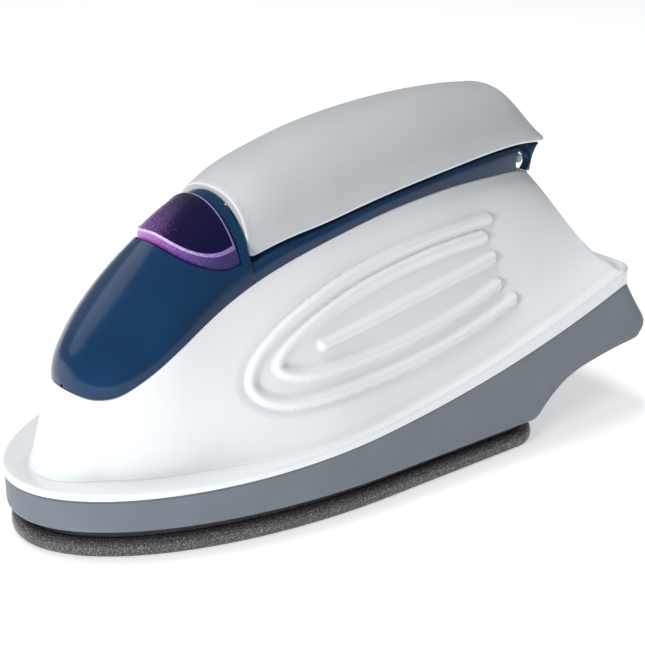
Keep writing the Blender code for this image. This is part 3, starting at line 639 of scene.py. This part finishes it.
def make_body():
    u = body_columns()
    rim_s, rim_y = plan(u, NOSE, FLANGE_TAIL, FLANGE_HALF, FLANGE_CORNER)
    shares = np.linspace(0, 1, 110)
    side = body_sides(u, 0.0, shares)
    along = np.gradient(side, axis=1)
    up = np.gradient(side, axis=0)
    normal = np.cross(along, up)
    normal /= np.linalg.norm(normal, axis=-1, keepdims=True)
    outward = np.sign((normal * (side - np.array((110.0, 0.0, 40.0)))).sum(-1, keepdims=True))
    side = side + normal * outward * rib_relief(side)[..., None]

    low = rim_line(rim_s) + GAP
    high = low + rim_height(rim_s)
    edge = RIM_EDGE
    rows = [np.stack((rim_s, rim_y, low), axis=-1)]
    for k in range(1, 4):
        rows.append(np.stack((rim_s, rim_y, low + (high - edge - low) * k / 3), axis=-1))
    for k in range(1, 5):
        angle = math.pi / 2 * k / 4
        s, y = inset(u, rim_s, rim_y, edge * (1 - math.cos(angle)))
        rows.append(np.stack((s, y, high - edge + edge * math.sin(angle)), axis=-1))

    # The ledge meets the lowest rows of the side in a fillet, tight at the nose and soft along the side.
    foot = side[0]
    lip = rows[-1]
    dip = np.array((0.0, 0.0, 1.0)) * (0.9 - 0.2 * ramp(foot[:, 0], 60, 120))[:, None]
    flat = (0.90 - 0.54 * ramp(foot[:, 0], 45, 95))[:, None]
    for k in range(1, 6):
        rows.append(lip + (foot - lip) * flat * k / 5 - dip * 0.5 * (k / 5) ** 2)
    ledge = rows[-1]
    foot = foot - dip * 1.2
    upper = 5
    target = side[upper]
    for k in range(1, 8):
        t = k / 8
        rows.append(ledge * (1 - t) ** 2 + foot * 2 * t * (1 - t) + target * t * t)
    rows += list(side[upper:])
    inner = body_sides(u, SHELL_WALL, np.linspace(1, 0, 10))
    rows += list(inner)
    rows.append(np.stack((inner[-1][:, 0], inner[-1][:, 1], rim_line(inner[-1][:, 0]) + GAP), axis=-1))
    near = np.array(rows)
    near = at(near[..., 0], near[..., 1], near[..., 2])
    near[:, [0, -1], 1] = 0.0
    piece = mesh_object("white_body", [ring_part(mirrored(near), wrap_rings=True)], [WHITE], 55)
    return stand_for(piece, "body_shell")


# Skirt and soleplate ---------------------------------------------------------------------------
def below(station):
    return value(HEEL_RISE, station)


def skirt_row(u, share, inwards, lift=0.0):
    tail = value(SKIRT_TAIL, share)
    corner = value(SKIRT_CORNER, share)
    s, y = plan(u, NOSE + 0.4 + inwards, tail - inwards, HALF_WIDTH - inwards, corner - min(inwards, 2.4))
    z = below(s) + (rim_line(s) - below(s)) * share + lift
    return np.stack((s, y, z), axis=-1)


def make_skirt():
    front = np.linspace(0, 14, 90, endpoint=False)
    side = np.concatenate([np.linspace(14, 17, 24, endpoint=False), np.linspace(17, 20, 70, endpoint=False)])
    u = outline_steps(front, side, 30, 14)
    edge = SKIRT_EDGE
    rows = []
    for k in range(6):
        angle = math.pi / 2 * k / 5
        rows.append(skirt_row(u, 0.0, edge * (1 - math.sin(angle)), edge * (1 - math.cos(angle))))
    for share in np.linspace(0.0, 0.96, 30)[1:]:
        row = skirt_row(u, share, 0.0)
        row[:, 2] += edge * (1 - share) ** 4
        rows.append(row)
    for k in range(4):
        angle = math.pi / 2 * k / 3
        rows.append(skirt_row(u, 1.0, SKIRT_TOP_EDGE * (1 - math.cos(angle)),
                              -SKIRT_TOP_EDGE * (1 - math.sin(angle))))
    rows.append(skirt_row(u, 1.0, SKIRT_WALL))
    for share in np.linspace(1.0, 0.0, 8)[1:]:
        rows.append(skirt_row(u, share, SKIRT_WALL))
    near = np.array(rows)
    near = at(near[..., 0], near[..., 1], near[..., 2])
    near[:, [0, -1], 1] = 0.0
    shell = ring_part(mirrored(near), wrap_rings=True)

    # The heel's underside, a curved floor between the near and far edges.
    stations = np.concatenate([np.linspace(FLOOR_FRONT, 172, 28, endpoint=False),
                               np.linspace(172, 200.6, 20)])
    across = np.linspace(-1, 1, 25)
    half = HALF_WIDTH - 1.2 - ramp(stations, 195, 201) * 4.2
    grid = []
    for thick in (0.0, SKIRT_WALL):
        height = (below(stations) + thick)[:, None]
        grid.append(at(stations[:, None], half[:, None] * across[None, :], height))
    loops = np.concatenate([grid[0], grid[1][:, ::-1]], axis=1)
    points, faces = ring_part(loops)
    faces = faces + shell_ends(loops, len(across))
    piece = mesh_object("grey_skirt", [shell, (points, faces)], [SKIRT], 40)
    return stand_for(piece, "skirt")


def make_soleplate():
    front = np.linspace(0, 14, 90, endpoint=False)
    side = np.linspace(14, 20, 30, endpoint=False)
    u = outline_steps(front, side, 24, 12)

    def row(inwards, height):
        corner = SOLE_CORNER - min(inwards, 4.0)
        s, y = plan(u, SOLE_NOSE + inwards, SOLE_HEEL - inwards, SOLE_HALF - inwards, corner)
        return at(s, y, height)

    profile = [(3.2, 0.0), (1.9, 0.05), (1.1, 0.25), (0.5, 0.65), (0.15, 1.2), (0.0, 1.9), (0.0, 2.9),
               (0.12, 3.6), (0.45, 4.3), (1.0, 4.75), (1.8, 4.97), (2.8, SOLE_RIM_TOP), (3.3, 5.05),
               (3.4, 5.3), (3.4, 7.2), (3.45, 7.35), (3.7, 7.45), (5.5, 7.5)]
    rows = [row(inwards, height) for inwards, height in profile]
    near = np.array(rows)
    near[:, [0, -1], 1] = 0.0
    rings = mirrored(near)
    points, faces = ring_part(rings)
    count = rings.shape[1]
    # Faces from the rim's top upward, and the top cap, take the darkened coat: painted shade in the gap under
    # the skirt.
    core = len(faces) * profile.index((2.8, SOLE_RIM_TOP)) // (len(rows) - 1)
    finishes = [int(k >= core) for k in range(len(faces))]
    half = near.shape[1]
    for start in (0, (len(rows) - 1) * count):
        for i in range(half - 1):
            a = start + i
            b = start + i + 1
            c = start + (count - i - 1) % count
            d = start + (count - i) % count
            faces.append((a, b, c, d))
            finishes.append(int(start > 0))
    piece = mesh_object("coated_plate", [(points, faces, finishes)], [PLATE, PLATE_PAINTED_SHADE], 50)
    return stand_for(piece, "soleplate")


# Hood, grip and key ----------------------------------------------------------------------------
def hood_shape(station):
    """Section of the hood and of the deck behind it: half width, lower edge, ridge, roundness."""
    low = float(value(EDGE_Z, station)) + GAP / 2
    half = float(edge_half(station))
    if station < GRIP_FRONT - 0.5:
        return half, low, float(value(RIDGE_Z, station)), HOOD_ROUND
    deck = float(value(GRIP_LOW, station)) - 2 * GAP
    overhang = max(station - EDGE_TAIL + 0.5, 0.0) / (GRIP_TAIL - EDGE_TAIL)
    return half, low + (deck - low) * min(overhang, 0.93) ** 0.6, deck, DECK_ROUND


def hood_top(station, side):
    """Height of the hood's front part over a place on its plan."""
    half = edge_half(station)
    low = value(EDGE_Z, station) + GAP / 2
    high = value(RIDGE_Z, station)
    return low + (high - low) * (1 - np.minimum(np.abs(side) / half, 1.0) ** HOOD_ROUND) ** (1 / HOOD_ROUND)


def section(half, low, high, power, angles):
    """Superellipse section from the near lower edge over the ridge to the far one: (side, height)."""
    side = -half * np.sign(np.cos(angles)) * np.abs(np.cos(angles)) ** (2 / power)
    return side, low + (high - low) * np.abs(np.sin(angles)) ** (2 / power)


def hollow_stack(stations, outer, inner, angles):
    """C-shaped section rings, outer line then inner line back."""
    stack = []
    for station in stations:
        side, height = section(*outer(station), angles)
        back_side, back_height = section(*inner(station), angles[::-1])
        stack.append(at(station, np.concatenate([side, back_side]), np.concatenate([height, back_height])))
    return np.array(stack)


def key_outline(margin, lean=0.0, count=90):
    """D-shaped outline of the key on the plan, margin outside it, its curved front drawn in by lean."""
    span = KEY_HALF_SPAN + margin - lean
    back = KEY_BACK + margin
    turn = np.linspace(-np.pi / 2, np.pi / 2, count)
    side = span * np.sin(turn)
    bow = (1 - np.abs(np.sin(turn)) ** KEY_ROUND) ** (1 / KEY_ROUND)
    front = back - (KEY_REACH + 2 * margin - lean) * bow
    edge = np.linspace(span, -span, 40)[1:-1]
    return np.concatenate([front, np.full(len(edge), back)]), np.concatenate([side, edge])


def key_ring(margin, lift, shrink=1.0, lean=0.0):
    """Ring of the key's outline laid on the hood and lifted along the key's travel."""
    s, y = key_outline(margin, lean)
    s = KEY_BACK - 7.0 + (s - KEY_BACK + 7.0) * shrink
    y = y * shrink
    return at(s, y, hood_top(s, y)) + KEY_NORMAL * np.asarray(lift) * MM


def key_prism(margin, top, bottom):
    rings = np.array([key_ring(margin, bottom), key_ring(margin, top)])
    return ring_part(rings, cap_start=True, cap_end=True)


def make_hood():
    nose = EDGE_NOSE + 30 * (1 - np.cos(np.pi / 2 * np.linspace(0, 1, 46)))
    front = np.concatenate([nose, np.linspace(47, GRIP_FRONT - 0.8, 30)[1:]])
    deck = np.concatenate([[GRIP_FRONT - 0.4], np.linspace(67, 176, 60), np.linspace(176, DECK_END, 20)[1:]])
    stations = np.concatenate([front, deck])
    angles = np.linspace(0, np.pi, 91)

    def inner(station):
        place = station if station < GRIP_FRONT - 3 else max(station, GRIP_FRONT)
        half, low, high, power = hood_shape(place)
        wall = min(HOOD_WALL, 0.3 * (high - low))
        return max(half - HOOD_WALL, half * 0.4), low, high - wall, power

    stack = hollow_stack(stations, hood_shape, inner, angles)
    points, faces = ring_part(stack)
    faces = faces + shell_ends(stack, len(angles))
    piece = mesh_object("navy_hood", [(points, faces)], [NAVY], 35)
    cutters = [key_prism(0.35, 8, -9)]
    for side in (-1, 1):
        rim = (BALL[0], side * 14.0, BALL[2])
        cutters.append(turned(rim, (0, -side, 0), [(0, 5.2), (4.6, 3.5), (5.4, 2.4)]))
    cutters.append(turned(BALL, (1, 0, -0.25), [(-0.5, 3.6), (14, 3.9)]))
    piece = cut(piece, cutters)
    return stand_for(piece, "hood")


def make_grip():
    edge = GRIP_EDGE
    lift = np.array([0.0, 0.06, 0.22, 0.45, 0.8])
    pull = np.array([0.8, 0.5, 0.22, 0.06, 0.0])
    angles = np.linspace(0, np.pi, 101)

    def ring(station, shrink):
        place = min(max(station, GRIP_FRONT), GRIP_TAIL)
        half = float(value(GRIP_HALF, place)) - shrink
        ahead = max(GRIP_FRONT + GRIP_CORNER - place, 0.0) / GRIP_CORNER
        low = float(value(GRIP_LOW, place)) + shrink * 0.4 + GRIP_CORNER * (1 - math.sqrt(1 - ahead ** 2))
        high = float(value(GRIP_TOP, place)) - shrink
        side, height = section(half, low + edge, high, GRIP_ROUND, angles)
        near = np.stack((-half + pull[:-1], low + lift[:-1]), axis=-1)
        far = near[::-1] * np.array((-1, 1))
        outer = np.concatenate([near, np.stack((side, height), axis=-1), far])
        thin = max(high - GRIP_WALL, low + 0.3)
        back_angles = np.linspace(np.pi, 0, len(outer))
        inner_side, inner_height = section(half - GRIP_WALL, low, thin, GRIP_ROUND, back_angles)
        return outer, np.stack((inner_side, inner_height), axis=-1)

    places = [(GRIP_FRONT + edge * (1 - math.cos(a)), edge * (1 - math.sin(a)))
              for a in np.linspace(0, math.pi / 2, 6)]
    places += [(s, 0.0) for s in np.linspace(67.6, 70, 8, endpoint=False)]
    places += [(s, 0.0) for s in np.linspace(70, 160, 70)]
    places += [(s, 0.0) for s in np.linspace(160, GRIP_TAIL - 0.6, 50)[1:]]
    places += [(GRIP_TAIL - 0.25, 0.2), (GRIP_TAIL, 0.6)]
    stack = []
    for station, shrink in places:
        outer, back = ring(station, shrink)
        loop = np.concatenate([outer, back])
        stack.append(at(station, loop[:, 0], loop[:, 1]))
    stack = np.array(stack)
    points, faces = ring_part(stack)
    line = stack.shape[1] // 2
    around = np.arange(len(faces)) % stack.shape[1]
    along = np.arange(len(faces)) // stack.shape[1]
    # Faces round the grip's front and lower edges take the pale finish, a painted highlight along them.
    painted_highlight_faces = (around < 4) | ((around >= line - 5) & (around < line - 1)) | ((along < 2) & (around < line))
    ends = shell_ends(stack, line)
    chosen = [int(edge) for edge in painted_highlight_faces] + [0] * len(ends)
    piece = mesh_object("palm_grip", [(points, faces + ends, chosen)], [SATIN, GRIP_PAINTED_HIGHLIGHT], 50)
    return stand_for(piece, "grip_cap")


def make_key():
    edge = KEY_EDGE
    proud = KEY_PROUD + KEY_LIFT
    wall = [key_ring(-KEY_WALL, -KEY_DEPTH), key_ring(0.0, -KEY_DEPTH)]
    for k in range(1, 7):
        rise = k / 6
        height = -KEY_DEPTH + (proud - edge + KEY_DEPTH) * rise
        wall.append(key_ring(0.0, height, lean=KEY_TAPER * rise ** 3))
    rim = [wall[-1]]
    for k in range(1, 5):
        angle = math.pi / 2 * k / 4
        height = proud - edge + edge * math.sin(angle)
        rim.append(key_ring(-edge * (1 - math.cos(angle)), height, lean=KEY_TAPER))
    dish = [rim[-1]]
    for shrink in np.linspace(1, 0.02, 27):
        dish.append(key_ring(-edge - 0.3, proud - 0.2, shrink, KEY_TAPER))
    under = [key_ring(-KEY_WALL, -KEY_DEPTH), key_ring(-KEY_WALL, KEY_PROUD - KEY_WALL)]
    under += [key_ring(-KEY_WALL, KEY_PROUD - KEY_WALL, shrink) for shrink in (0.7, 0.4, 0.02)]
    station = KEY_CENTRE[0] + STEM_FORWARD * math.cos(KEY_TILT) + 12.0 * math.sin(KEY_TILT)
    height = KEY_CENTRE[1] + STEM_FORWARD * math.sin(KEY_TILT) - 12.0 * math.cos(KEY_TILT)
    stem = turned((station, 0, height), KEY_NORMAL, [(0, 1.9), (0.3, 2.2), (11.8, 2.2), (12.0, 2.2)], 32)
    # The wall takes the paler finish, painted light, and the rounded rim the palest, a painted highlight.
    parts = [(*ring_part(np.array(wall)), 1), (*ring_part(np.array(rim)), 2),
             (*ring_part(np.array(dish), cap_end=True), 0),
             (*ring_part(np.array(under), cap_end=True), 0), (*stem, 0)]
    piece = mesh_object("lit_key", parts, [KEY, KEY_SIDE_PAINTED_LIGHT, KEY_PAINTED_HIGHLIGHT], 40)
    return stand_for(piece, "power_key", "key")


def make_swivel():
    ball = [(BALL_RADIUS * (1 - math.cos(a)), BALL_RADIUS * math.sin(a)) for a in np.linspace(0, math.pi, 33)]
    solid = turned((BALL[0], 0, BALL[2] - BALL_RADIUS), (0, 0, 1), ball)
    piece = mesh_object("swivel_ball", [solid], [BLACK], 35)
    cutters = [turned((BALL[0], -20, BALL[2]), (0, 1, 0), [(0, PIN_RADIUS + GAP), (40, PIN_RADIUS + GAP)]),
               turned((BALL[0] + 2.0, 0, BALL[2] - 0.5), (1, 0, -0.25), [(0, 2.2), (12, 2.4)])]
    piece = cut(piece, cutters)
    stand_for(piece, "cord_swivel", "swivel")
    profile = [(0, 0.5), (0.08, 0.95), (0.3, 1.25), (0.7, PIN_RADIUS), (18.5, PIN_RADIUS), (18.9, 1.25),
               (19.12, 0.95), (19.2, 0.5)]
    pin = mesh_object("swivel_axle", [turned((BALL[0], -9.6, BALL[2]), (0, 1, 0), profile)], [SATIN], 35)
    return stand_for(pin, "swivel_pin")


make_body()
make_skirt()
make_soleplate()
make_hood()
make_grip()
make_key()
make_swivel()

for node in frame["nodes"].values():
    if node.hide_render:
        continue
    for place in node.material_slots:
        place.material = NODE_FINISHES[place.material.name.split(".")[0]]


# Studio ----------------------------------------------------------------------------------------
CAMERA_TURN = 38.7          # degrees round towards the nose, and up
CAMERA_LIFT = 22.0
CAMERA_AIM = (-0.0119, -0.0200, 0.0480)
CAMERA_DISTANCE = 0.460


def floor_material():
    made, tree, shader = new_material("pale_floor")
    shades = [(0.3, (0.93, 0.93, 0.93)), (0.7, (0.95, 0.95, 0.95))]
    tree.links.new(add_ramp(tree, add_noise(tree, 4, 2.0), shades), shader.inputs["Base Color"])
    shader.inputs["Roughness"].default_value = 0.9
    shader.inputs["Emission Color"].default_value = (1.0, 1.0, 1.0, 1.0)
    shader.inputs["Emission Strength"].default_value = 0.45
    return made


def make_floor():
    work = bmesh.new()
    bmesh.ops.create_grid(work, x_segments=8, y_segments=8, size=6.0)
    mesh = bpy.data.meshes.new("floor")
    work.to_mesh(mesh)
    work.free()
    floor = bpy.data.objects.new("floor", mesh)
    bpy.context.scene.collection.objects.link(floor)
    mesh.materials.append(floor_material())


def area_light(name, place, aim, size, power, reflected=False, lights=True):
    """Soft light aimed at a point. It may be left out of reflections, or act in reflections alone."""
    data = bpy.data.lights.new(name, "AREA")
    data.shape = "RECTANGLE"
    data.size, data.size_y = size
    data.energy = power
    light = bpy.data.objects.new(name, data)
    light.location = place
    light.rotation_mode = "QUATERNION"
    light.rotation_quaternion = (Vector(aim) - Vector(place)).to_track_quat("-Z", "Y")
    light.visible_glossy = reflected
    light.visible_diffuse = lights
    bpy.context.scene.collection.objects.link(light)


def make_studio():
    world = bpy.data.worlds.new("studio")
    world.use_nodes = True
    world.node_tree.nodes["Background"].inputs["Color"].default_value = (0.97, 0.985, 1.0, 1.0)
    world.node_tree.nodes["Background"].inputs["Strength"].default_value = 0.30
    bpy.context.scene.world = world
    area_light("ceiling", (-0.06, 0.16, 1.0), (0, 0, 0.03), (0.5, 0.4), 4.9)
    area_light("front_left", (-1.0, -0.32, 0.30), (-0.03, 0, 0.05), (0.3, 0.3), 7.2)
    area_light("hood_glow", (-0.40, 0.85, 0.60), (-0.05, 0, 0.06), (0.9, 0.35), 0.9,
               reflected=True, lights=False)


def make_camera():
    turn = math.radians(CAMERA_TURN)
    lift = math.radians(CAMERA_LIFT)
    back = Vector((-math.sin(turn) * math.cos(lift), -math.cos(turn) * math.cos(lift), math.sin(lift)))
    right = Vector((math.cos(turn), -math.sin(turn), 0.0))
    up = back.cross(right)
    target = Vector(CAMERA_AIM)
    data = bpy.data.cameras.new("camera")
    data.lens = 91.2
    data.sensor_width = 36.0
    data.clip_start = 0.01
    camera = bpy.data.objects.new("camera", data)
    place = Matrix((right, up, back)).transposed().to_4x4()
    place.translation = target + back * CAMERA_DISTANCE
    camera.matrix_world = place
    bpy.context.scene.collection.objects.link(camera)
    bpy.context.scene.camera = camera


make_floor()
make_studio()
make_camera()
bpy.context.scene.view_settings.view_transform = "Standard"
